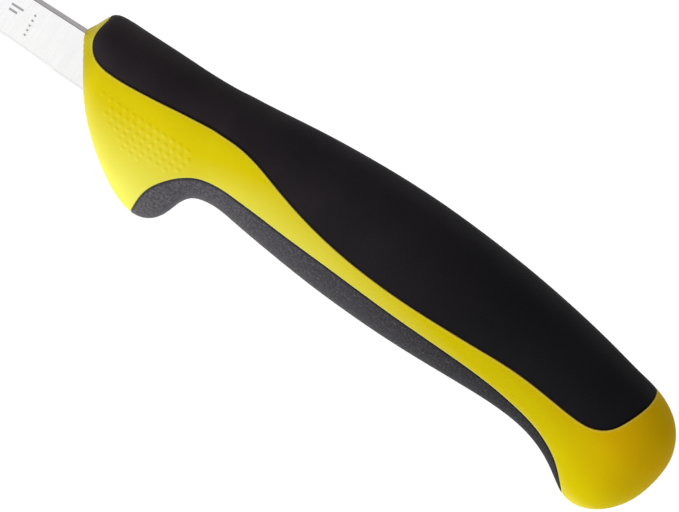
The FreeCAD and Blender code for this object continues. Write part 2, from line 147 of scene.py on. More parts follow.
def spline(points):
    """Natural cubic spline by chord length. Returns its length and a function of length."""
    points = np.array(points, float)
    knots = np.concatenate([[0], np.cumsum(np.hypot(*np.diff(points, axis=0).T))])
    gaps = np.diff(knots)
    count = len(knots)
    matrix = np.zeros((count, count))
    matrix[0, 0] = matrix[-1, -1] = 1
    change = np.zeros((count, points.shape[1]))
    for i in range(1, count - 1):
        matrix[i, i - 1:i + 2] = gaps[i - 1], 2 * (gaps[i - 1] + gaps[i]), gaps[i]
        change[i] = 6 * ((points[i + 1] - points[i]) / gaps[i]
                         - (points[i] - points[i - 1]) / gaps[i - 1])
    bend = np.linalg.solve(matrix, change)

    def at(length):
        length = np.clip(np.asarray(length, float), 0, knots[-1])
        i = np.clip(np.searchsorted(knots, length, side="right") - 1, 0, count - 2)
        before = ((knots[i + 1] - length) / gaps[i])[..., None]
        after = ((length - knots[i]) / gaps[i])[..., None]
        curve = (before ** 3 - before) * bend[i] + (after ** 3 - after) * bend[i + 1]
        return (before * points[i] + after * points[i + 1]
                + curve * (gaps[i] ** 2)[..., None] / 6)

    return knots[-1], at


def outline(points):
    """z as a function of x along a side outline."""
    length, at = spline(points)
    steps = np.linspace(0, length, 60001)
    xs = np.maximum.accumulate(at(steps)[:, 0])
    return lambda x: at(np.interp(x, xs, steps))[..., 1]


def monotone_curve(points):
    """Monotone piecewise cubic through a table of (x, value)."""
    xs, values = np.array(points, float).T
    gaps = np.diff(xs)
    rise = np.diff(values) / gaps
    slopes = np.concatenate([[rise[0]], np.zeros(len(xs) - 2), [rise[-1]]])
    for i in range(1, len(xs) - 1):
        if rise[i - 1] * rise[i] > 0:
            before, after = 2 * gaps[i] + gaps[i - 1], gaps[i] + 2 * gaps[i - 1]
            slopes[i] = (before + after) / (before / rise[i - 1] + after / rise[i])

    def at(x):
        x = np.clip(x, xs[0], xs[-1])
        i = np.clip(np.searchsorted(xs, x, side="right") - 1, 0, len(xs) - 2)
        t = (x - xs[i]) / gaps[i]
        return ((2 * t ** 3 - 3 * t * t + 1) * values[i]
                + (t ** 3 - 2 * t * t + t) * gaps[i] * slopes[i]
                + (3 * t * t - 2 * t ** 3) * values[i + 1]
                + (t ** 3 - t * t) * gaps[i] * slopes[i + 1])

    return at


def lookup(table, x):
    return np.interp(x, *np.array(table, float).T)


def running_length(points):
    return np.concatenate([[0], np.cumsum(np.linalg.norm(np.diff(points, axis=0), axis=1))])


# ------------------------------------------------------------------ handle skin
back, belly = outline(BACK_PTS), outline(BELLY_PTS)
half_width = monotone_curve(HALF_WIDTH)


def rounding(distance, radius):
    share = np.clip(distance / radius, 0, 1)
    return np.sqrt(np.maximum(0, 1 - (1 - share) ** 2))


def section(x):
    """Top, bottom and widest level, half width, and the exponents above and below."""
    top, bottom = back(x), belly(x)
    half = half_width(x) * rounding(x - HANDLE_FRONT, NOSE_ROUND)
    half = half * rounding(HANDLE_BUTT - x, BUTT_ROUND)
    middle = top + (bottom - top) * lookup(WIDEST, x)
    return top, bottom, middle, half, lookup(FULL_ABOVE, x), lookup(FULL_BELOW, x)


def section_at(x, z):
    """Half width, widest level, whether z is above it, and that part's exponent and height."""
    top, bottom, middle, half, above, below = section(x)
    upper = z >= middle
    height = np.where(upper, top - middle, middle - bottom)
    return (np.maximum(half, 1e-9), middle, upper, np.where(upper, above, below),
            np.maximum(height, 1e-9))


def surface(x, angle):
    """Skin point. The angle runs from 0 on the back, round the -Y side, to pi on the belly."""
    top, bottom, middle, half, above, below = section(x)
    cosine, sine = np.cos(angle), np.sin(angle)
    upper = cosine >= 0
    power = np.where(upper, above, below)
    height = np.where(upper, top - middle, middle - bottom)
    y = -half * np.sign(sine) * np.abs(sine) ** (2 / power)
    z = middle + height * np.sign(cosine) * np.abs(cosine) ** (2 / power)
    return np.stack([x, y, z], -1)


def angle_at(x, z):
    _, middle, upper, power, height = section_at(x, z)
    angle = np.arccos(np.clip(np.abs(z - middle) / height, 0, 1) ** (power / 2))
    return np.where(upper, angle, np.pi - angle)


def inside(x, y, z):
    """Below 1 inside the handle, above 1 outside."""
    half, middle, _, power, height = section_at(x, z)
    return (np.abs(y) / half) ** power + (np.abs(z - middle) / height) ** power


def skin_normal(points):
    """Outward unit normals of skin points."""
    x, y, z = points.T
    x_safe = np.clip(x, HANDLE_FRONT + 1e-5, HANDLE_BUTT - 1e-5)
    half, middle, _, power, height = section_at(x_safe, z)
    slope_y = power * (np.abs(y) / half) ** (power - 1) / half * np.sign(y)
    slope_z = power * (np.abs(z - middle) / height) ** (power - 1) / height * np.sign(z - middle)
    step = 2e-3 * np.minimum(x_safe - HANDLE_FRONT, HANDLE_BUTT - x_safe)
    step = np.clip(step, 1e-7, 2e-3)
    slope_x = (inside(x_safe + step, y, z) - inside(x_safe - step, y, z)) / (2 * step)
    slope = np.stack([slope_x, slope_y, slope_z], -1)
    slope /= np.linalg.norm(slope, axis=-1, keepdims=True)
    # At the two ends of the handle the normal turns to lie along X.
    clear = np.clip(np.minimum(x - HANDLE_FRONT, HANDLE_BUTT - x) / 2e-3, 0, 1)[:, None]
    pole = np.zeros_like(slope)
    pole[:, 0] = np.where(x < 60, -1.0, 1.0)
    slope = clear * slope + (1 - clear) * pole
    return slope / np.linalg.norm(slope, axis=-1, keepdims=True)


# ------------------------------------------------------------------ chart of half the handle
# A spot is a row (along, share): along is the arc length along the plan outline, and share is the
# share of the way round the section from the back (0), by way of -Y, to the belly (1). Share
# times the section's length makes the nearly flat map that is triangulated.
STATIONS, ANGLES = np.arange(2400), 480
STATION_X = HANDLE_FRONT + (HANDLE_BUTT - HANDLE_FRONT) * (
    1 - np.cos(np.pi * STATIONS / (len(STATIONS) - 1))) / 2
STATION_ALONG = np.concatenate(
    [[0], np.cumsum(np.hypot(np.diff(STATION_X), np.diff(section(STATION_X)[3])))])
CHART_END = STATION_ALONG[-1]


def chart_tables():
    """Section lengths, share by station and angle, and angle by station and share."""
    angles = np.linspace(0, np.pi, ANGLES + 1)
    grid = surface(STATION_X[:, None] + 0 * angles[None, :],
                   angles[None, :] + 0 * STATION_X[:, None])
    steps = np.linalg.norm(np.diff(grid, axis=1), axis=2)
    lengths = np.concatenate([np.zeros((len(STATIONS), 1)), np.cumsum(steps, axis=1)], axis=1)
    totals = lengths[:, -1].copy()
    # The end sections are points, so they borrow their neighbours' shares.
    lengths[0], lengths[-1] = lengths[1], lengths[-2]
    shares = lengths / lengths[:, -1:]
    even = np.linspace(0, 1, ANGLES + 1)
    return totals, shares, np.stack([np.interp(even, row, angles) for row in shares])


SECTION_LENGTH, SHARE_TABLE, ANGLE_TABLE = chart_tables()


def bilinear(table, row, column):
    row = np.clip(row, 0, table.shape[0] - 1.000001)
    column = np.clip(column, 0, table.shape[1] - 1.000001)
    i, j = row.astype(int), column.astype(int)
    a, b = row - i, column - j
    return ((1 - a) * (1 - b) * table[i, j] + a * (1 - b) * table[i + 1, j]
            + (1 - a) * b * table[i, j + 1] + a * b * table[i + 1, j + 1])


def section_length(along):
    return np.interp(along, STATION_ALONG, SECTION_LENGTH)


def spots_at(along, share):
    return np.stack([along, share], -1)


def flat(spots):
    return spots_at(spots[:, 0], spots[:, 1] * section_length(spots[:, 0]))


def skin_point(spots):
    along, share = spots.T
    angle = bilinear(ANGLE_TABLE, np.interp(along, STATION_ALONG, STATIONS), share * ANGLES)
    angle = np.where(share <= 0, 0.0, np.where(share >= 1, np.pi, angle))
    points = surface(np.interp(along, STATION_ALONG, STATION_X), angle)
    points[:, 1] = np.where((share <= 0) | (share >= 1), 0.0, points[:, 1])
    return points


def skin(spots):
    points = skin_point(spots)
    return points, skin_normal(points)


def chart(x, angle):
    """Spots of skin points given by x and angle."""
    station = np.interp(x, STATION_X, STATIONS)
    return spots_at(np.interp(station, STATIONS, STATION_ALONG),
                    bilinear(SHARE_TABLE, station, angle / np.pi * ANGLES))


def walk(spots, moves):
    """Moves spots by 3-D steps that lie along the skin."""
    along, share = spots.T
    step = 1e-3
    length = section_length(along)
    around = share * length
    start = skin_point(spots)
    way = np.where(along < CHART_END / 2, 1.0, -1.0)
    ahead = along + way * step
    ahead_share = np.where(share < 1, np.clip(around / section_length(ahead), 0, 1), 1.0)
    axis_a = (skin_point(spots_at(ahead, ahead_share)) - start) / (way * step)[:, None]
    way = np.where(share < 0.5, 1.0, -1.0)
    turned = spots_at(along, (around + way * step) / length)
    axis_b = (skin_point(turned) - start) / (way * step)[:, None]
    # Least squares for the step along the two chart directions.
    aa, ab, bb = (axis_a * axis_a).sum(1), (axis_a * axis_b).sum(1), (axis_b * axis_b).sum(1)
    a_move, b_move = (axis_a * moves).sum(1), (axis_b * moves).sum(1)
    area = aa * bb - ab * ab
    new_along = np.clip(along + (bb * a_move - ab * b_move) / area, 0, CHART_END)
    new_around = around + (aa * b_move - ab * a_move) / area
    new_share = np.clip(new_around / np.maximum(section_length(new_along), 1e-9), 0, 1)
    new_share = np.where(share <= 0, 0.0, np.where(share >= 1, 1.0, new_share))
    return spots_at(new_along, new_share)


def line_frames(line):
    """Points, normals and directions to the left of travel along a border."""
    points, normals = skin(line)
    travel = np.empty_like(points)
    travel[1:-1] = points[2:] - points[:-2]
    travel[0], travel[-1] = (0, -1.0, 0), (0, 1.0, 0)
    return points, normals, unit(np.cross(normals, unit(travel)))


def offset(line, distance, side):
    """A border moved sideways along the skin. Side +1 is to the left, seen from outside."""
    steps = max(1, int(math.ceil(distance / 0.12)))
    for _ in range(steps):
        line = walk(line, line_frames(line)[2] * side * distance / steps)
    return line


def border(points, on_back):
    """A side-view border as evenly spaced spots, from centre plane to centre plane."""
    length, at = spline(points)
    edge, sign, end_share = (back, 1, 0.0) if on_back else (belly, -1, 1.0)
    marks = np.linspace(0, length, 6001)

    def gap(lengths):
        """Above zero outside the handle."""
        x, z = at(lengths).T
        return (z - edge(x)) * sign

    def crossing(outer, inner):
        for _ in range(60):
            middle = (outer + inner) / 2
            if gap(np.array([middle]))[0] >= 0:
                outer = middle
            else:
                inner = middle
        return inner

    within = np.nonzero(gap(marks) < 0)[0]
    start = crossing(marks[within[0] - 1], marks[within[0]])
    end = crossing(marks[within[-1] + 1], marks[within[-1]])
    # Twice eased, so that the samples crowd towards the centre plane.
    eased = np.linspace(0, 1, 6001)
    for _ in range(2):
        eased = (1 - np.cos(np.pi * eased)) / 2
    x, z = at(start + (end - start) * eased).T
    angle = angle_at(x, z)
    angle[0] = angle[-1] = 0.0 if on_back else np.pi
    line = chart(x, angle)
    line[[0, -1], 1] = end_share
    run = running_length(skin_point(line))
    even = np.linspace(0, run[-1], int(round(run[-1] / BORDER_PITCH)) + 1)
    i = np.clip(np.searchsorted(run, even, side="right") - 1, 0, len(run) - 2)
    part = ((even - run[i]) / np.maximum(run[i + 1] - run[i], 1e-12))[:, None]
    line = line[i] * (1 - part) + line[i + 1] * part
    line[[0, -1], 1] = end_share
    return line


def centre_line(start, end, share, pitch=CENTRE_PITCH):
    """Spots along the back (share 0) or the belly (share 1), strictly between two places."""
    along = start + (end - start) * np.linspace(0, 1, 4001)
    run = running_length(skin_point(spots_at(along, np.full_like(along, share))))
    count = max(1, int(round(run[-1] / pitch)))
    along = np.interp(np.linspace(0, run[-1], count + 1)[1:-1], run, along)
    return spots_at(along, np.full_like(along, share))


# ------------------------------------------------------------------ mesh builder
class HalfMesh:
    def __init__(self):
        self.point_sets, self.normal_sets, self.rim_sets = [], [], []
        self.faces, self.sharp, self.count = [], [], 0

    def add(self, points, normals, rim=0.0):
        points = np.asarray(points, float).reshape(-1, 3)
        ids = np.arange(self.count, self.count + len(points))
        self.point_sets.append(points)
        self.normal_sets.append(unit(np.asarray(normals, float).reshape(-1, 3)))
        self.rim_sets.append(np.full(len(points), rim, float))
        self.count += len(points)
        return ids

    def points(self):
        return np.concatenate(self.point_sets)

    def normals(self):
        return np.concatenate(self.normal_sets)

    def strip(self, row_a, row_b, outward=None):
        """Quads between two rows of ids, turned to agree with outward or the rows' normals."""
        if outward is None:
            normals = self.normals()
            outward = normals[row_a] + normals[row_b]
        points = self.points()
        agree = 0.0
        quads = []
        for i in range(len(row_a) - 1):
            quad = (row_a[i], row_a[i + 1], row_b[i + 1], row_b[i])
            corners = points[list(quad)]
            agree += float(np.cross(corners[2] - corners[0], corners[3] - corners[1])
                           @ outward[i])
            quads.append(quad)
        for quad in quads:
            face = tuple(dict.fromkeys(int(v) for v in (quad[::-1] if agree < 0 else quad)))
            if len(face) > 2:
                self.faces.append(face)

    def fill(self, triangles, ids, outward=None):
        """Triangles between ids. Each is turned to outward, or all together to their normals."""
        corners = self.points()[ids][triangles]
        cross = np.cross(corners[:, 1] - corners[:, 0], corners[:, 2] - corners[:, 0])
        facing = self.normals()[ids] if outward is None else np.tile(outward, (len(ids), 1))
        facing = facing[triangles]
        agree = (cross * (facing[:, 0] + facing[:, 1] + facing[:, 2])).sum(1)
        flip = np.full(len(triangles), agree.sum() < 0) if outward is None else agree < 0
        turned = np.where(flip[:, None], triangles[:, ::-1], triangles)
        self.faces += [tuple(row) for row in ids[turned].tolist()]

    def finish(self, name, custom_normals=True):
        used = np.zeros(self.count, bool)
        for face in self.faces:
            used[list(face)] = True
        new_id = np.cumsum(used) - 1
        points, normals = self.points()[used], self.normals()[used]
        rims = np.concatenate(self.rim_sets)[used]
        faces = [tuple(int(new_id[v]) for v in face) for face in self.faces]
        centred = np.abs(points[:, 1]) < 1e-7
        points[centred, 1] = 0.0
        twin = np.arange(len(points))
        off = np.nonzero(~centred)[0]
        twin[off] = len(points) + np.arange(len(off))
        points = np.concatenate([points, points[off] * [1, -1, 1]])
        normals = np.concatenate([normals, normals[off] * [1, -1, 1]])
        rims = np.concatenate([rims, rims[off]]).astype(np.float32)
        faces += [tuple(int(twin[v]) for v in reversed(face)) for face in faces]

        mesh = bpy.data.meshes.new(name)
        mesh.from_pydata((points * MM).tolist(), [], faces)
        mesh.update()
        mesh.attributes.new("rim", "FLOAT", "POINT").data.foreach_set("value", rims)
        mesh.polygons.foreach_set("use_smooth", np.ones(len(mesh.polygons), bool))
        pairs = set()
        for pair in self.sharp:
            kept = new_id[list(pair)]
            pairs |= {tuple(sorted(kept.tolist())), tuple(sorted(twin[kept].tolist()))}
        for edge in mesh.edges:
            if tuple(sorted(edge.vertices)) in pairs:
                edge.use_edge_sharp = True
        if custom_normals:
            mesh.normals_split_custom_set_from_vertices(normals.tolist())
        piece = bpy.data.objects.new(name, mesh)
        bpy.context.scene.collection.objects.link(piece)
        return piece


# ------------------------------------------------------------------ flat triangulation
def in_polygon(points, polygon):
    """Even-odd test against a closed polygon."""
    hit = np.zeros(len(points), bool)
    x, y = points[:, 0], points[:, 1]
    for (x0, y0), (x1, y1) in zip(polygon, np.roll(polygon, -1, axis=0)):
        if y0 == y1:
            continue
        spans = (y0 > y) != (y1 > y)
        hit ^= spans & (x < (x1 - x0) * (y - y0) / (y1 - y0) + x0)
    return hit


def near_polygon(points, polygon, distance):
    """Which points are within a distance of the polygon's line."""
    near = np.zeros(len(points), bool)
    for start, end in zip(polygon, np.roll(polygon, -1, axis=0)):
        side = end - start
        square = side @ side
        if square < 1e-18:
            continue
        low, high = np.minimum(start, end) - distance, np.maximum(start, end) + distance
        boxed = np.nonzero(((points > low) & (points < high)).all(1))[0]
        if len(boxed) == 0:
            continue
        away = points[boxed] - start
        share = np.clip(away @ side / square, 0, 1)
        near[boxed[np.hypot(*(away - share[:, None] * side).T) < distance]] = True
    return near


def triangulate(polygon, extra, holes=()):
    """Triangles inside polygon and outside holes. Points count polygon, holes, then extra."""
    edges = []
    first = 0
    for loop in [polygon, *holes]:
        count = len(loop)
        edges += [(first + i, first + (i + 1) % count) for i in range(count)]
        first += count
    places = [Vector(place) for place in np.concatenate([polygon, *holes, extra]).tolist()]
    result = delaunay_2d_cdt(places, edges, [], 0, 1e-7, True)
    original = np.array([source[0] if source else -1 for source in result[3]])
    triangles = np.array([face for face in result[2] if len(face) == 3])
    centres = np.array([[place[0], place[1]] for place in result[0]])[triangles].mean(1)
    keep = in_polygon(centres, polygon)
    for hole in holes:
        keep &= ~in_polygon(centres, hole)
    triangles = original[triangles[keep]]
    if (triangles < 0).any():
        raise RuntimeError("the triangulation made new points")
    return triangles


def lattice(polygon, pitch, clear):
    """A triangular lattice inside the polygon, kept clear of its line."""
    low, high = polygon.min(0), polygon.max(0)
    rows = []
    for j, y in enumerate(np.arange(low[1] + 0.5 * pitch, high[1], pitch * math.sqrt(3) / 2)):
        x = np.arange(low[0] + (0.5 if j % 2 else 0.25) * pitch, high[0], pitch)
        rows.append(np.stack([x, np.full_like(x, y)], -1))
    points = np.concatenate(rows)
    points = points[in_polygon(points, polygon)]
    return points[~near_polygon(points, polygon, clear)]


# ------------------------------------------------------------------ blade outlines
def dense_outline(points, count):
    length, at = spline(points)
    return at(np.linspace(0, length, count))[::-1].T


EDGE_LINE, SPINE_LINE = dense_outline(EDGE_PTS, 8001), dense_outline(SPINE_PTS, 4001)


def edge_z(x):
    return np.interp(x, *EDGE_LINE)


def spine_z(x):
    return np.where(np.asarray(x) > SPINE_PTS[0][0], 0.0, np.interp(x, *SPINE_LINE))


# ------------------------------------------------------------------ plate: the tang and its slot
def rim_profile(half, radius):
    """(inset, y, angle) over a plate's edge, from the flat side to the centre plane."""
    profile = [(radius * (1 - math.sin(a)), half - radius * (1 - math.cos(a)), a)
               for a in np.linspace(0, math.pi / 2, ARC_STEPS + 1)]
    return profile + [(0.0, (half - radius) * (1 - k / FLAT_STEPS), math.pi / 2)
                      for k in range(1, FLAT_STEPS + 1)]


def tang_outline():
    """The tang in side view, (x, z), from the front of its top round to its heel."""
    top, low = TANG_TOP, TANG_LOW
    corners = [
        (6.4, 0.0), (8.2, top), (20.0, top), (TANG_END - 6.0, top - 0.9),
        (TANG_END - 1.2, top - 1.4), (TANG_END, top - 2.6), (TANG_END, low + 2.5),
        (TANG_END - 1.2, low + 1.3), (TANG_END - 6.0, low + 1.0), (20.0, low), (8.6, low),
        (6.6, -10.0), (6.0, float(edge_z(6.0)))]
    points = []
    for start, end in zip(corners, corners[1:]):
        start, end = np.array(start), np.array(end)
        forward = unit(end - start)
        inward = np.array([forward[1], -forward[0]])
        # The long top and bottom edges carry the half-round notches.
        shares = []
        if abs(end[0] - start[0]) > 40:
            shares = sorted((x - start[0]) / (end[0] - start[0]) for x in NOTCH_XS)
        run = [start]
        for share in shares:
            centre = start + share * (end - start)
            run.append(centre - forward * (NOTCH_RADIUS + 3.0))
            for a in np.linspace(0, math.pi, 15):
                run.append(centre - forward * NOTCH_RADIUS * math.cos(a)
                           + inward * NOTCH_RADIUS * math.sin(a))
            run.append(centre + forward * (NOTCH_RADIUS + 3.0))
        run.append(end)
        points.append(start)
        for a, b in zip(run, run[1:]):
            count = max(1, int(np.linalg.norm(b - a) / 4.0))
            points += [a + (b - a) * k / count for k in range(1, count + 1)]
        points.pop()
    points.append(np.array(corners[-1]))
    return np.array(points)


def inward_normals(points, first, last):
    """Mitred normals into the plate, for an outline that runs clockwise in (x, z)."""
    forward = unit(np.diff(np.concatenate([[first], points, [last]]), axis=0))
    normals = np.stack([forward[:, 1], -forward[:, 0]], -1)
    before, after = normals[:-1], normals[1:]
    mitre = unit(before + after)
    return mitre / np.clip((mitre * before).sum(1), 0.5, 1.0)[:, None]


def add_plate(mesh, ring, shape, half, hole_radius, side):
    """A flat plate with holes behind a half ring of ids that runs from edge to spine.

    Side is +1 for the solid plate and -1 for the cavity round it."""
    profile = rim_profile(half, RIM_ROUND)
    count = len(profile)
    bottom, straight, top = ring[:count][::-1], ring[count:-count], ring[-count:]
    points = mesh.points()
    first, last = points[top[-1]][[0, 2]], points[bottom[-1]][[0, 2]]
    columns = []
    for (x, z), (in_x, in_z) in zip(shape, inward_normals(shape, first, last)):
        way = unit(np.array([in_x, in_z]))
        columns.append(mesh.add(
            [(x + inset * in_x, -y, z + inset * in_z) for inset, y, a in profile],
            [(-math.sin(a) * way[0] * side, -math.cos(a) * side, -math.sin(a) * way[1] * side)
             for inset, y, a in profile]))
    rows = [[top[j]] + [column[j] for column in columns] + [bottom[j]] for j in range(count)]
    for row_a, row_b in zip(rows, rows[1:]):
        mesh.strip(row_a, row_b)
    loop = np.array([bottom[0], *straight, top[0], *(column[0] for column in columns)])
    polygon = mesh.points()[loop][:, [0, 2]]

    turn = np.linspace(0, 2 * math.pi, 33)[:-1]
    cosine, sine = np.cos(turn), np.sin(turn)
    hole_ids, holes = [], []
    for x, z in HOLES:
        rings = []
        for inset, y, a in profile:
            radius = hole_radius + inset
            places = np.stack([x + radius * cosine, np.full(32, -y), z + radius * sine], -1)
            normals = np.stack([-math.sin(a) * cosine, np.full(32, -math.cos(a)),
                                -math.sin(a) * sine], -1) * side
            rings.append(mesh.add(places, normals))
        for ring_a, ring_b in zip(rings, rings[1:]):
            mesh.strip(np.append(ring_a, ring_a[0]), np.append(ring_b, ring_b[0]))
        hole_ids.append(rings[0])
        holes.append(mesh.points()[rings[0]][:, [0, 2]])

    outward = np.array([0, -1.0 * side, 0])
    inner = lattice(polygon, pitch=2.6, clear=0.9)
    for hole in holes:
        inner = inner[~in_polygon(inner, hole) & ~near_polygon(inner, hole, 0.8)]
    places = np.stack([inner[:, 0], np.full(len(inner), -half), inner[:, 1]], -1)
    inner_ids = mesh.add(places, np.tile(outward, (len(places), 1)))
    mesh.fill(triangulate(polygon, inner, holes),
              np.concatenate([loop, *hole_ids, inner_ids]), outward)


# ------------------------------------------------------------------ blade
def smooth_step(t):
    t = min(max(t, 0.0), 1.0)
    return t * t * (3 - 2 * t)


def half_thickness(x, height):
    """Half thickness at a height above the edge: bevel, grind, then flat."""
    blunt = 1 - smooth_step((-4.0 - x) / 6.0)
    edge, shoulder = (sharp + (full - sharp) * blunt
                      for sharp, full in (EDGE_HALF, SHOULDER_HALF))
    height = np.asarray(height, float)
    bevel = edge + (shoulder - edge) * height / BEVEL_HEIGHT
    grind = shoulder + (GROUND_HALF - shoulder) * (height - BEVEL_HEIGHT) / GRIND_HEIGHT
    half = np.minimum(np.where(height < BEVEL_HEIGHT, bevel, grind), GROUND_HALF)
    return half + (TANG_HALF - half) * smooth_step((x + 2.7) / 1.4)


def blade_ring(x):
    """Half a section at x, from the centre plane at the edge to the centre plane on the spine."""
    top, bottom = float(spine_z(x)), float(edge_z(x))
    height = top - bottom
    top_half = float(half_thickness(x, height))
    top_round = min(RIM_ROUND, 0.7 * top_half, 0.25 * height)
    low_round = min(RIM_ROUND, 0.7 * float(half_thickness(x, 0.0)), 0.1 * height)
    low_half = float(half_thickness(x, low_round))
    bevel_top = min(BEVEL_HEIGHT, 0.2 * height)
    grind_top = min(BEVEL_HEIGHT + GRIND_HEIGHT, 0.85 * height)

    def levels(start, end, count):
        return start + (end - start) * np.linspace(0, 1, count)[1:]

    heights = np.concatenate([levels(low_round, bevel_top, 4), levels(bevel_top, grind_top, 9),
                              levels(grind_top, height - top_round, 8)[:-1]])
    return ([(x, -y, bottom + inset) for inset, y, a in rim_profile(low_half, low_round)[::-1]]
            + [(x, -float(half_thickness(x, level)), bottom + level) for level in heights]
            + [(x, -y, top - inset) for inset, y, a in rim_profile(top_half, top_round)])


def build_blade():
    mesh = HalfMesh()
    xs = [TIP_X + step for step in TIP_STEPS]
    xs += [*np.arange(TIP_X + 10.2, -12.0, 1.5), *np.arange(-11.6, -3.2, 0.6),
           *np.arange(-2.9, -1.2, 0.14), *np.linspace(-1.0, JOIN_X, 8)]
    # Places in a ring, after the bottom rim: the tops of the bevel and of the grind.
    rim_count = ARC_STEPS + 1 + FLAT_STEPS
    shoulder, grind = rim_count + 2, rim_count + 10
    tip = mesh.add([[TIP_X, 0, TIP_Z]], [[-1, 0, 0]])[0]
    rows = []
    for x in xs:
        points = blade_ring(x)
        normals = np.array([(0, -1.0, 0)] * len(points))
        normals[:4] = (0, -0.3, -1)
        normals[-4:] = (0, -0.3, 1)
        rim = np.zeros(len(points))
        rim[shoulder] = 1.0
        rows.append(mesh.add(points, normals, rim))
    outward = mesh.normals()[rows[0]]
    mesh.strip([tip] * len(rows[0]), rows[0], outward)
    for x, row_a, row_b in zip(xs, rows, rows[1:]):
        mesh.strip(row_a, row_b, outward)
        if x < -3.0:
            mesh.sharp.append((row_a[shoulder], row_b[shoulder]))
            if spine_z(x) - edge_z(x) > 6.6:
                mesh.sharp.append((row_a[grind], row_b[grind]))
    add_plate(mesh, rows[-1], tang_outline(), TANG_HALF, HOLE_RADIUS, side=1)
    return mesh.finish("blade", custom_normals=False)


# ------------------------------------------------------------------ dots on the core
def dot_spots():
    x, z = np.array([(first + DOT_STEP * k, z) for first, z, count in DOT_ROWS
                     for k in range(count)]).T
    return chart(x, angle_at(x, z))


DOT_SPOTS = dot_spots()
DOT_CENTRES = skin_point(DOT_SPOTS)


def raise_dots(points, normals):
    """Raises the dots out of the skin."""
    tilted, lift = normals.copy(), np.zeros(len(points))
    for centre in DOT_CENTRES:
        away = points - centre
        distance = np.linalg.norm(away, axis=1)
        near = distance < DOT_RADIUS
        share = distance[near] / DOT_RADIUS
        lift[near] += DOT_HEIGHT * (1 - share * share) ** 2
        slope = DOT_HEIGHT * 2 * (1 - share * share) * (-2 * share) / DOT_RADIUS
        level = away[near] - (away[near] * normals[near]).sum(1)[:, None] * normals[near]
        tilted[near] -= slope[:, None] * unit(level)
    return points + lift[:, None] * normals, unit(tilted)


def core_inner_points(polygon, inner):
    """The core's lattice with rings at the handle's two ends and round every dot."""
    inner = inner[(inner[:, 0] > 3.0) & (inner[:, 0] < CHART_END - 3.0)]
    rings = []
    for distance in END_RINGS:
        for along in (distance, CHART_END - distance):
            pitch = min(0.62, 0.25 + distance)
            count = max(3, int(round(float(section_length(along)) / pitch)))
            share = (np.arange(count) + 0.5) / count
            rings.append(flat(spots_at(np.full(count, along), share)))
    rings = np.concatenate(rings)
    rings = rings[in_polygon(rings, polygon)]
    inner = np.concatenate([inner, rings[~near_polygon(rings, polygon, 0.09)]])
    for centre in flat(DOT_SPOTS):
        inner = inner[np.hypot(*(inner - centre).T) > DOT_RADIUS + 0.10]
    parts = [inner]
    for i, spot in enumerate(DOT_SPOTS):
        normal = skin_normal(DOT_CENTRES[i:i + 1])[0]
        axis_a = unit(np.cross(normal, [0, 1.0, 0.3]))
        axis_b = np.cross(normal, axis_a)
        for share, count in DOT_RINGS:
            turn = 2 * math.pi * (np.arange(count) + 0.5 * (count % 2)) / count
            moves = share * DOT_RADIUS * (np.cos(turn)[:, None] * axis_a
                                          + np.sin(turn)[:, None] * axis_b)
            parts.append(flat(walk(np.tile(spot, (count, 1)), moves)))
    return np.concatenate(parts)


# ------------------------------------------------------------------ handle
def add_seam(mesh, line, side, radius, depth):
    """One side of a seam: wall, rounded edge and first loops of skin.

    Returns the ids of the wall's foot and of the last loop, and the loops' spots."""
    line = offset(line, GAP, side)
    reached = 0.0
    points, normals, left = line_frames(line)
    foot = mesh.add(points - depth * normals, -side * left)
    rows = [foot]
    for a in np.linspace(math.pi / 2, 0, 6):
        distance = radius * (1 - math.sin(a))
        if distance > reached + 1e-9:
            line = offset(line, distance - reached, side)
            reached = distance
        points, normals, left = line_frames(line)
        rows.append(mesh.add(points - radius * (1 - math.cos(a)) * normals,
                             math.cos(a) * normals - math.sin(a) * side * left,
                             min(1.0, 1.35 * math.cos(a))))
    loops = []
    for distance, rim in SEAM_LOOPS:
        line = offset(line, distance - reached, side)
        reached = distance
        rows.append(mesh.add(*skin(line), rim))
        loops.append(line)
    for row_a, row_b in zip(rows, rows[1:]):
        mesh.strip(row_a, row_b)
    return foot, rows[-1], loops


def add_skin(mesh, loop_ids, loop, with_dots=False):
    """Skin inside a closed loop. Returns the triangles and the inner spots."""
    polygon = flat(loop)
    inner = lattice(polygon, SKIN_PITCH, 0.42 * SKIN_PITCH)
    if with_dots:
        inner = core_inner_points(polygon, inner)
    spots = spots_at(inner[:, 0], inner[:, 1] / section_length(inner[:, 0]))
    points, normals = skin(spots)
    if with_dots:
        points, normals = raise_dots(points, normals)
    ids = np.concatenate([loop_ids, mesh.add(points, normals)])
    triangles = triangulate(polygon, inner)
    mesh.fill(triangles, ids)
    return triangles, spots


def add_bed(mesh, foot, bed, depth, side):
    """The hidden face at a depth below a grip's skin. Side +1 faces outwards."""
    loops, closing, triangles, inner = bed

    def sunk(spots):
        points, normals = skin(spots)
        return mesh.add(points - depth * normals, side * normals)

    rows = [foot] + [sunk(loop) for loop in loops]
    for row_a, row_b in zip(rows, rows[1:]):
        mesh.strip(row_a, row_b, mesh.normals()[row_b])
    mesh.fill(triangles, np.concatenate([rows[-1], sunk(closing), sunk(inner)]))


def build_grip(line, share, side):
    """A grip inside a border, and the layout of its underside for the core's recess."""
    mesh = HalfMesh()
    foot, last, loops = add_seam(mesh, line, side, GRIP_ROUND, GRIP_DEPTH)
    closing = centre_line(loops[-1][-1, 0], loops[-1][0, 0], share)
    ids = np.concatenate([last, mesh.add(*skin(closing))])
    bed = (loops, closing, *add_skin(mesh, ids, np.concatenate([loops[-1], closing])))
    add_bed(mesh, foot, bed, GRIP_DEPTH, -1)
    return mesh, bed


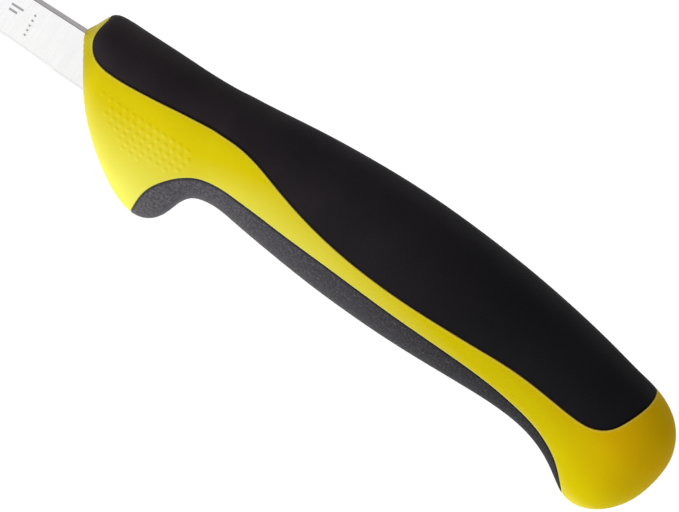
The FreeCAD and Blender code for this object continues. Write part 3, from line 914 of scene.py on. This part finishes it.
def nose_x(y, z):
    """x of the nose's skin at a given y and z."""
    outer, inner = np.full(y.shape, HANDLE_FRONT + 1e-7), np.full(y.shape, 12.0)
    for _ in range(60):
        middle = (outer + inner) / 2
        level = inside(middle, y, z)
        outer, inner = np.where(level > 1, middle, outer), np.where(level > 1, inner, middle)
    return inner


def add_slot(mesh):
    """The slot in the nose and the cavity round the tang. Returns its mouth's spots and ids."""
    half = TANG_HALF + SLOT_CLEARANCE
    top, low = SLOT_CLEARANCE, float(edge_z(5.8)) - SLOT_CLEARANCE
    profile = rim_profile(half, RIM_ROUND)
    # Each row is y, z and the direction (y, z) out of the slot.
    ring = [(-y, low + inset, -math.cos(a), -math.sin(a)) for inset, y, a in profile[::-1]]
    ring += [(-half, z, -1.0, 0.0)
             for z in np.linspace(low + RIM_ROUND, top - RIM_ROUND, 46)[1:-1]]
    ring += [(-y, top - inset, -math.cos(a), math.sin(a)) for inset, y, a in profile]
    ring_y, ring_z, out_y, out_z = np.array(ring).T
    away = np.stack([0 * out_y, out_y, out_z], -1)
    rows = []
    for a in np.linspace(math.pi / 2, 0, 4):
        distance = SLOT_LIP * (1 - math.sin(a))
        y, z = ring_y + distance * out_y, ring_z + distance * out_z
        y = np.where(np.abs(ring_y) < 1e-9, 0.0, y)
        points = np.stack([nose_x(y, z), y, z], -1)
        normals = skin_normal(points)
        rows.append(mesh.add(points + [SLOT_LIP * (1 - math.cos(a)), 0, 0],
                             math.cos(a) * normals - math.sin(a) * away))
    for row_a, row_b in zip(rows, rows[1:]):
        mesh.strip(row_a, row_b)

    shape = tang_outline()
    shape = shape - SLOT_CLEARANCE * unit(
        inward_normals(shape, (5.9, 0.0), (5.9, float(edge_z(5.9)))))
    add_plate(mesh, rows[0], shape, half, HOLE_RADIUS - SLOT_CLEARANCE, side=-1)

    x, y, z = points.T
    half, middle, upper, power, height = section_at(x, z)
    angle = np.arctan2((np.abs(y) / half) ** (power / 2),
                       (np.abs(z - middle) / height) ** (power / 2))
    mouth = chart(x, np.where(upper, angle, np.pi - angle))
    mouth[[0, -1], 1] = 1.0
    return mouth, rows[-1]


def build_handle():
    upper_line, lower_line = border(UPPER_EDGE, True), border(LOWER_EDGE, False)
    upper, upper_bed = build_grip(upper_line, 0.0, +1)
    lower, lower_bed = build_grip(lower_line, 1.0, -1)

    core = HalfMesh()
    depth = GRIP_DEPTH + BED_CLEARANCE
    upper_foot, upper_ids, upper_loops = add_seam(core, upper_line, -1, CORE_ROUND, depth)
    lower_foot, lower_ids, lower_loops = add_seam(core, lower_line, +1, CORE_ROUND, depth)
    add_bed(core, upper_foot, upper_bed, depth, +1)
    add_bed(core, lower_foot, lower_bed, depth, +1)
    mouth, mouth_ids = add_slot(core)

    def new(spots):
        return spots, core.add(*skin(spots))

    # Once round the core's skin: back, butt, belly and the slot's mouth.
    seam_a, seam_b = upper_loops[-1], lower_loops[-1]
    parts = [
        new(np.array([[0.0, 0.0]])),
        new(centre_line(0.0, seam_a[0, 0], 0.0, pitch=0.5)),
        (seam_a, upper_ids),
        new(centre_line(seam_a[-1, 0], CHART_END, 0.0)),
        new(np.array([[CHART_END, 0.0]])),
        new(centre_line(CHART_END, seam_b[-1, 0], 1.0)),
        (seam_b[::-1], lower_ids[::-1]),
        new(centre_line(seam_b[0, 0], mouth[0, 0], 1.0)),
        (mouth, mouth_ids)]
    loop, ids = (np.concatenate(column) for column in zip(*parts))
    add_skin(core, ids, loop, with_dots=True)
    return (core.finish("handle_core_shell"), upper.finish("upper_grip_cover"),
            lower.finish("lower_grip_cover"))


# ------------------------------------------------------------------ shader helper
class Shader:
    """A small writer for shader trees."""

    def __init__(self, tree):
        self.tree = tree
        tree.nodes.clear()

    def node(self, kind, *ordered, settings=None, **named):
        """A node. Ordered values fill its first inputs, named ones the inputs of that name."""
        node = self.tree.nodes.new(kind)
        for key, value in (settings or {}).items():
            setattr(node, key, value)
        for i, value in enumerate(ordered):
            self.feed(node.inputs[i], value)
        for key, value in named.items():
            self.feed(node.inputs[key.replace("_", " ")], value)
        return node

    def feed(self, socket, value):
        """Links a socket or a node's first output, or sets a plain value. Colours get alpha 1."""
        if isinstance(value, bpy.types.Node):
            value = value.outputs[0]
        if isinstance(value, bpy.types.NodeSocket):
            self.tree.links.new(value, socket)
        elif socket.type == "RGBA":
            socket.default_value = (*value, 1.0)
        else:
            socket.default_value = value

    def math(self, operation, a, b=0.0, clamp=False):
        settings = {"operation": operation, "use_clamp": clamp}
        return self.node("ShaderNodeMath", a, b, 0.0, settings=settings).outputs[0]

    def add(self, total, *others):
        for other in others:
            total = self.math("ADD", total, other)
        return total

    def times(self, total, *others):
        for other in others:
            total = self.math("MULTIPLY", total, other)
        return total

    def less(self, a, b):
        return self.math("SUBTRACT", a, b)

    def sway(self, noise, amount):
        """Noise centred on zero."""
        return self.times(self.less(noise, 0.5), amount)

    def dot(self, a, b):
        settings = {"operation": "DOT_PRODUCT"}
        return self.node("ShaderNodeVectorMath", a, b, settings=settings).outputs["Value"]

    def ramp(self, value, over, to=(0.0, 1.0), kind="LINEAR"):
        """Maps the range over to the range to, clamped."""
        settings = {"clamp": True, "interpolation_type": kind}
        return self.node("ShaderNodeMapRange", value, *over, *to, settings=settings).outputs[0]

    def mix(self, factor, a, b, blend="MIX"):
        node = self.tree.nodes.new("ShaderNodeMix")
        node.data_type, node.blend_type, node.clamp_factor = "RGBA", blend, True
        for i, value in ((0, factor), (6, a), (7, b)):
            self.feed(node.inputs[i], value)
        return node.outputs[2]

    def tint(self, base, colour, mask, strength=None):
        """Base with a colour laid over it where mask is high."""
        return self.mix(mask if strength is None else self.times(mask, strength), base, colour)

    def scale_colour(self, base, factor):
        grey = self.node("ShaderNodeCombineXYZ", factor, factor, factor)
        return self.mix(1.0, base, grey, blend="MULTIPLY")

    def noise(self, at, scale, detail, rough):
        return self.node("ShaderNodeTexNoise", Vector=at, Scale=scale, Detail=detail,
                         Roughness=rough).outputs[0]

    def voronoi(self, at, scale):
        return self.node("ShaderNodeTexVoronoi", settings={"feature": "F1"}, Vector=at,
                         Scale=scale).outputs

    def bump(self, height, distance, strength, **under):
        return self.node("ShaderNodeBump", Strength=strength, Distance=distance, Height=height,
                         **under).outputs[0]

    def split(self, vector):
        return self.node("ShaderNodeSeparateXYZ", vector).outputs

    def coordinates(self, kind="Object"):
        return self.node("ShaderNodeTexCoord").outputs[kind]

    def normal(self):
        return self.node("ShaderNodeNewGeometry").outputs["Normal"]

    def wear(self):
        """0 on the broad faces, 1 along rounded outer edges."""
        point = self.node("ShaderNodeNewGeometry").outputs["Pointiness"]
        return self.ramp(point, over=(0.53, 0.60))

    def rim(self):
        """The mesh's rim attribute."""
        return self.node("ShaderNodeAttribute", settings={"attribute_name": "rim"}).outputs["Fac"]

    def camera_ray(self):
        return self.node("ShaderNodeLightPath").outputs["Is Camera Ray"]

    def surface(self, **inputs):
        principled = self.node("ShaderNodeBsdfPrincipled", **inputs)
        self.node("ShaderNodeOutputMaterial", Surface=principled)


def new_material(name):
    material = bpy.data.materials.new(name)
    material.use_nodes = True
    return material, Shader(material.node_tree)


# ------------------------------------------------------------------ materials
def yellow_plastic():
    # deep, middle and pale are shaded, mid and lit copies of the yellow, mixed for painted light
    # and shade.
    deep, middle, pale = (0.79, 0.485, 0.0), (0.81, 0.66, 0.0), (0.91, 0.875, 0.135)
    painted_light_direction = (-0.06, 0.0, -1.0)
    specular = 0.06
    material, s = new_material("yellow_polypropylene")
    at = s.coordinates()
    x, _, z = s.split(at)
    cloud = s.noise(at, scale=55.0, detail=3.0, rough=0.55)
    fleck = s.noise(at, scale=2600.0, detail=2.0, rough=0.6)
    peel = s.noise(at, scale=620.0, detail=2.0, rough=0.5)
    worn, rim = s.wear(), s.rim()
    nose = s.ramp(x, over=(0.0025, 0.0070), to=(1.0, 0.0), kind="SMOOTHSTEP")
    # Painted light and shade: pale below and at the front, deep above and at the butt, set by the
    # normal and the position, with a random cloud on top.
    painted_light_and_cloud = s.add(
        s.times(s.dot(s.normal(), painted_light_direction), s.ramp(x, over=(0.030, 0.090), to=(0.35, 1.0))),
        s.times(s.ramp(z, over=(-0.020, -0.002), to=(0.55, 0.0)),
                s.ramp(x, over=(0.050, 0.100), to=(1.0, 0.0))),
        s.add(s.ramp(x, over=(0.0, 0.022), to=(-0.18, 0.0)),
              s.ramp(x, over=(0.030, 0.045), to=(0.0, 0.12))),
        s.ramp(x, over=(0.060, 0.137), to=(0.0, -0.59)),
        s.times(nose, s.ramp(z, over=(-0.002, 0.001), to=(0.0, 0.38))),
        s.sway(cloud, amount=0.16))
    base = s.mix(s.ramp(painted_light_and_cloud, over=(-0.60, -0.05)), deep, middle)
    base = s.tint(base, pale, mask=s.ramp(painted_light_and_cloud, over=(0.08, 0.70)))
    # Painted light and shade: brightness along the handle, and painted shade at the top of the
    # nose.
    base = s.scale_colour(base, s.times(
        s.ramp(x, over=(0.001, 0.024), to=(0.86, 1.0), kind="SMOOTHSTEP"),
        s.ramp(x, over=(0.030, 0.105), to=(1.12, 0.95)),
        s.times(s.ramp(x, over=(0.112, 0.124), to=(1.0, 1.09), kind="SMOOTHSTEP"),
                s.ramp(x, over=(0.1255, 0.1345), to=(1.0, 0.85), kind="SMOOTHSTEP")),
        s.less(1.0, s.times(nose, s.ramp(z, over=(-0.020, -0.004), to=(0.0, 0.22))))))
    base = s.tint(base, (0.92, 0.85, 0.10), mask=s.ramp(fleck, over=(0.40, 0.75), to=(0.0, 0.05)))
    base = s.tint(base, (0.93, 0.88, 0.22), mask=worn, strength=0.15)
    # Painted highlight: a paler lip along each seam.
    base = s.tint(base, (0.90, 0.87, 0.24), mask=s.math("POWER", rim, 2.5), strength=0.30)
    rough = s.add(s.ramp(cloud, over=(0.3, 0.7), to=(0.40, 0.47)), s.sway(fleck, amount=0.10))
    rough = s.less(rough, s.times(worn, 0.06))
    bump = s.bump(peel, distance=0.00003, strength=0.5)
    bump = s.bump(fleck, distance=0.00001, strength=0.5, Normal=bump)
    # Highlights fade towards the butt.
    shine = s.ramp(x, over=(0.050, 0.130), to=(specular, specular * 0.25))
    s.surface(Base_Color=base, Roughness=rough, Normal=bump, IOR=1.40, Subsurface_Weight=0.10,
              Subsurface_Radius=(1.0, 0.7, 0.15), Subsurface_Scale=0.0016,
              Specular_IOR_Level=shine)
    return material


def black_rubber():
    front, rear = (0.0330, 0.0245, 0.0290), (0.0086, 0.0076, 0.0104)
    material, s = new_material("black_soft_rubber")
    at = s.coordinates()
    x = s.split(at)[0]
    cloud = s.noise(at, scale=70.0, detail=3.0, rough=0.6)
    grain = s.noise(at, scale=5200.0, detail=3.0, rough=0.65)
    cells = s.voronoi(at, scale=3400.0)["Distance"]
    # Painted light: the front and rear colours make the grip lit at the front and shaded towards
    # the butt.
    base = s.mix(s.ramp(x, over=(0.010, 0.095)), front, rear)
    base = s.tint(base, (0.0045, 0.0045, 0.0050),
                  mask=s.ramp(cloud, over=(0.35, 0.70), to=(0.0, 0.35)))
    base = s.tint(base, (0.030, 0.028, 0.030),
                  mask=s.ramp(grain, over=(0.55, 0.80), to=(0.0, 0.25)))
    base = s.tint(base, (0.035, 0.033, 0.034), mask=s.wear(), strength=0.30)
    # Painted shade: near black along the seam's rounded edge, for the shadow in the gap.
    base = s.tint(base, (0.0020, 0.0010, 0.0010), mask=s.rim(), strength=0.90)
    rough = s.add(s.ramp(cloud, over=(0.3, 0.7), to=(0.60, 0.70)), s.sway(grain, amount=0.20))
    bump = s.bump(s.add(grain, s.times(cells, 0.8)), distance=0.00004, strength=0.7)
    s.surface(Base_Color=base, Roughness=rough, Normal=bump, IOR=1.42, Specular_IOR_Level=0.12,
              Sheen_Weight=s.ramp(x, over=(0.02, 0.11), to=(0.04, 0.012)),
              Sheen_Roughness=0.45, Sheen_Tint=(0.8, 0.78, 0.8))
    return material


def grey_rubber():
    front, rear = (0.160, 0.150, 0.176), (0.0250, 0.0228, 0.0285)
    material, s = new_material("grey_soft_rubber")
    at = s.coordinates()
    x = s.split(at)[0]
    cloud = s.noise(at, scale=90.0, detail=3.0, rough=0.6)
    grain = s.noise(at, scale=2100.0, detail=3.0, rough=0.75)
    cells = s.voronoi(at, scale=2500.0)
    chance = s.split(cells["Color"])[0]
    speck = s.times(s.ramp(cells["Distance"], over=(0.12, 0.34), to=(1.0, 0.0)),
                    s.ramp(chance, over=(0.45, 0.95)))
    # Painted light: the front and rear colours make the strip lit at the front and shaded towards
    # the butt.
    base = s.mix(s.math("POWER", s.ramp(x, over=(0.024, 0.105)), 0.55), front, rear)
    # Dark and pale grain, then pale specks that thin out towards the butt.
    base = s.tint(base, s.mix(0.60, base, (0.012, 0.012, 0.015)),
                  mask=s.ramp(grain, over=(0.38, 0.60), to=(1.0, 0.0)))
    base = s.tint(base, s.mix(0.35, base, (0.50, 0.48, 0.55)),
                  mask=s.ramp(grain, over=(0.55, 0.72), to=(0.0, 0.5)))
    base = s.tint(base, (0.36, 0.35, 0.38), mask=speck,
                  strength=s.ramp(x, over=(0.02, 0.11), to=(0.40, 0.20)))
    base = s.tint(base, (0.04, 0.04, 0.045), mask=s.ramp(cloud, over=(0.35, 0.7), to=(0.0, 0.18)))
    base = s.tint(base, (0.20, 0.20, 0.21), mask=s.wear(), strength=0.25)
    # Painted shade: darker along the seam's rounded edge, for the shadow in the gap.
    base = s.tint(base, (0.014, 0.012, 0.012), mask=s.rim(), strength=0.60)
    rough = s.add(s.ramp(grain, over=(0.3, 0.7), to=(0.58, 0.76)), s.times(speck, -0.15))
    bump = s.bump(s.add(grain, s.times(speck, 0.5)), distance=0.00008, strength=0.8)
    s.surface(Base_Color=base, Roughness=rough, Normal=bump, IOR=1.45,
              Specular_IOR_Level=s.ramp(x, over=(0.03, 0.10), to=(0.32, 0.16)),
              Sheen_Weight=s.ramp(x, over=(0.03, 0.10), to=(0.05, 0.015)))
    return material


def etched_marks(s, at, x, z, normal_y):
    """A column of small dots and two short bars, on the -Y side near the handle."""
    def window(value, low, high):
        soft = 0.00004
        return s.times(s.ramp(value, over=(low - soft, low + soft)),
                       s.ramp(value, over=(high - soft, high + soft), to=(1.0, 0.0)))

    def box(x_range, z_range):
        return s.times(window(x, *x_range), window(z, *z_range))

    column_x, first_z, half_pitch = -0.0098, -0.0075, 0.0006
    off_z = s.math("PINGPONG", s.less(z, first_z), half_pitch)
    off_x = s.math("ABSOLUTE", s.less(x, column_x))
    away = s.math("SQRT", s.add(s.times(off_x, off_x), s.times(off_z, off_z)))
    mark = s.add(
        s.times(s.ramp(away, over=(0.00020, 0.00030), to=(1.0, 0.0)),
                box((-0.0104, -0.0092), (-0.0080, -0.0020))),
        box((-0.0148, -0.0122), (-0.0034, -0.0029)),
        box((-0.0148, -0.0130), (-0.0046, -0.0041)))
    near_side = s.ramp(normal_y, over=(-0.9, -0.8), to=(1.0, 0.0))
    mark = s.math("MULTIPLY", mark, near_side, clamp=True)
    patchy = s.noise(at, scale=9000.0, detail=2.0, rough=0.6)
    return s.times(mark, s.ramp(patchy, over=(0.3, 0.6), to=(0.72, 1.0)))


def satin_steel():
    material, s = new_material("satin_ground_steel")
    at = s.coordinates()
    x, y, z = s.split(at)

    # Grinding lines run across the blade: fine along X and long along Z.
    def streaks(scale_x, side, scale_z, detail, rough):
        place = s.node("ShaderNodeCombineXYZ", s.times(x, scale_x), side, s.times(z, scale_z))
        return s.noise(place.outputs[0], scale=1.0, detail=detail, rough=rough)

    lines = streaks(scale_x=5200.0, side=s.times(y, 900.0), scale_z=110.0, detail=3.0, rough=0.6)
    broad = streaks(scale_x=420.0, side=0.0, scale_z=40.0, detail=2.0, rough=0.5)
    cloud = s.noise(at, scale=45.0, detail=3.0, rough=0.6)
    _, normal_y, normal_z = s.split(s.normal())
    upward = s.ramp(normal_z, over=(0.55, 0.9))
    base = s.mix(s.ramp(lines, over=(0.35, 0.7)), (0.82, 0.82, 0.835), (0.885, 0.885, 0.90))
    base = s.tint(base, (0.76, 0.76, 0.78), mask=s.ramp(broad, over=(0.35, 0.65), to=(0.0, 0.20)))
    # Painted reflection: faces turned up, such as the spine, are a darker, warmer grey.
    base = s.tint(base, (0.80, 0.77, 0.775), mask=upward, strength=1.0)
    base = s.tint(base, (0.94, 0.94, 0.94), mask=s.wear(), strength=0.5)
    # Painted reflection: dark lines where the spine is rounded into the flats, and a faint one
    # along the bevel.
    sideways = s.math("ABSOLUTE", normal_y)
    rounded = s.times(s.ramp(sideways, over=(0.20, 0.40)),
                      s.ramp(sideways, over=(0.96, 0.99), to=(1.0, 0.0)),
                      s.ramp(normal_z, over=(0.05, 0.15)))
    base = s.tint(base, (0.16, 0.15, 0.155), mask=rounded, strength=0.75)
    base = s.tint(base, (0.45, 0.45, 0.46), mask=s.math("POWER", s.rim(), 3.0), strength=0.35)
    # Painted shade: darker away from the heel, so that the blade stands out from a white floor.
    base = s.scale_colour(
        base, s.ramp(x, over=(-0.065, -0.020), to=(0.78, 1.0), kind="SMOOTHSTEP"))
    etched = etched_marks(s, at, x, z, normal_y)
    base = s.tint(base, (0.20, 0.20, 0.21), mask=etched, strength=0.75)
    rough = s.add(s.ramp(lines, over=(0.3, 0.7), to=(0.24, 0.34)),
                  s.ramp(cloud, over=(0.3, 0.7), to=(-0.02, 0.04)),
                  s.times(upward, 0.10), s.times(etched, 0.30))
    s.surface(Base_Color=base, Roughness=rough, Metallic=1.0, Anisotropic=0.35,
              Normal=s.bump(lines, distance=0.000006, strength=0.55))
    return material


def pale_floor():
    """White to the camera. To other rays it glows, less towards +X."""
    seen_glow = 0.97
    material, s = new_material("pale_floor")
    at = s.coordinates()
    seen = s.camera_ray()
    cloud = s.noise(at, scale=3.0, detail=2.0, rough=0.5)
    colour = s.mix(cloud, (0.80, 0.80, 0.80), (0.82, 0.82, 0.82))
    colour = s.tint(colour, (0.14, 0.14, 0.14), mask=seen)
    glow = s.ramp(s.split(at)[0], over=(-0.35, 0.45), to=(0.98, 0.40))
    strength = s.add(s.times(seen, seen_glow), s.times(s.less(1.0, seen), glow))
    s.surface(Base_Color=colour, Roughness=0.85, Specular_IOR_Level=0.2,
              Emission_Color=(1, 1, 1), Emission_Strength=strength)
    return material


# ------------------------------------------------------------------ surroundings
def build_floor():
    half = 9.0
    z = CAD_BOX[0][2] - 0.0001
    mesh = bpy.data.meshes.new("floor")
    mesh.from_pydata([(-half, -half, z), (half, -half, z), (half, half, z), (-half, half, z)],
                     [], [(0, 1, 2, 3)])
    floor = bpy.data.objects.new("floor", mesh)
    bpy.context.scene.collection.objects.link(floor)
    mesh.materials.append(pale_floor())


def build_world():
    """White to the camera. To other rays it is grey, and its level tilts across the sky."""
    level_tilt, level_middle, level_least = (-0.03, 0.08, 0.0), 0.41, 0.10
    world = bpy.data.worlds.new("studio")
    bpy.context.scene.world = world
    world.use_nodes = True
    s = Shader(world.node_tree)
    level = s.add(s.dot(s.coordinates("Generated"), level_tilt), level_middle)
    level = s.math("MAXIMUM", level, level_least)
    seen = s.camera_ray()
    level = s.add(s.times(level, s.less(1.0, seen)), seen)
    background = s.node("ShaderNodeBackground", Color=(1, 1, 1), Strength=level)
    s.node("ShaderNodeOutputWorld", Surface=background)


def build_key_light():
    place, target = Vector((-0.42, -0.36, 0.10)), Vector((0.04, 0.0, -0.008))
    lamp = bpy.data.lights.new("key", "AREA")
    lamp.shape = "RECTANGLE"
    lamp.size, lamp.size_y = 0.45, 0.35
    lamp.energy = 0.6
    light = bpy.data.objects.new("key", lamp)
    light.location = place
    light.rotation_mode = "QUATERNION"
    light.rotation_quaternion = (target - place).to_track_quat("-Z", "Y")
    bpy.context.scene.collection.objects.link(light)


def build_camera():
    """Looks along +Y and down at the knife, rolled about its line of sight."""
    pitch, roll = math.radians(27), math.radians(32.7)
    target, distance = np.array([63.171, 0.0, -11.208]), 800.0      # millimetres
    level = np.array([1, 0, 0])
    forward = np.array([0, math.cos(pitch), -math.sin(pitch)])
    lift = np.array([0, math.sin(pitch), math.cos(pitch)])
    right = math.cos(roll) * level + math.sin(roll) * lift
    up = -math.sin(roll) * level + math.cos(roll) * lift
    eye = (target - distance * forward) * MM
    lens = bpy.data.cameras.new("camera")
    lens.lens, lens.sensor_width, lens.sensor_fit = 222.892489, 36.0, "HORIZONTAL"
    lens.clip_start, lens.clip_end = 0.01, 100.0
    camera = bpy.data.objects.new("camera", lens)
    bpy.context.scene.collection.objects.link(camera)
    camera.matrix_world = Matrix(
        [[right[i], up[i], -forward[i], eye[i]] for i in range(3)] + [[0, 0, 0, 1]])
    bpy.context.scene.camera = camera


# ------------------------------------------------------------------ build
blade = build_blade()
core, upper_grip, lower_grip = build_handle()
for piece, node, slot, make_material in (
        (blade, "blade_and_tang", "blade_steel", satin_steel),
        (core, "handle_core", "core_yellow", yellow_plastic),
        (upper_grip, "upper_grip", "grip_black", black_rubber),
        (lower_grip, "lower_grip", "grip_grey", grey_rubber)):
    piece.data.materials.append(make_material())
    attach(piece, "root")
    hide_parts(node)

build_floor()
build_world()
build_key_light()
build_camera()
bpy.context.scene.view_settings.view_transform = "Standard"
bpy.context.scene.view_settings.look = "None"

bpy.context.view_layer.update()
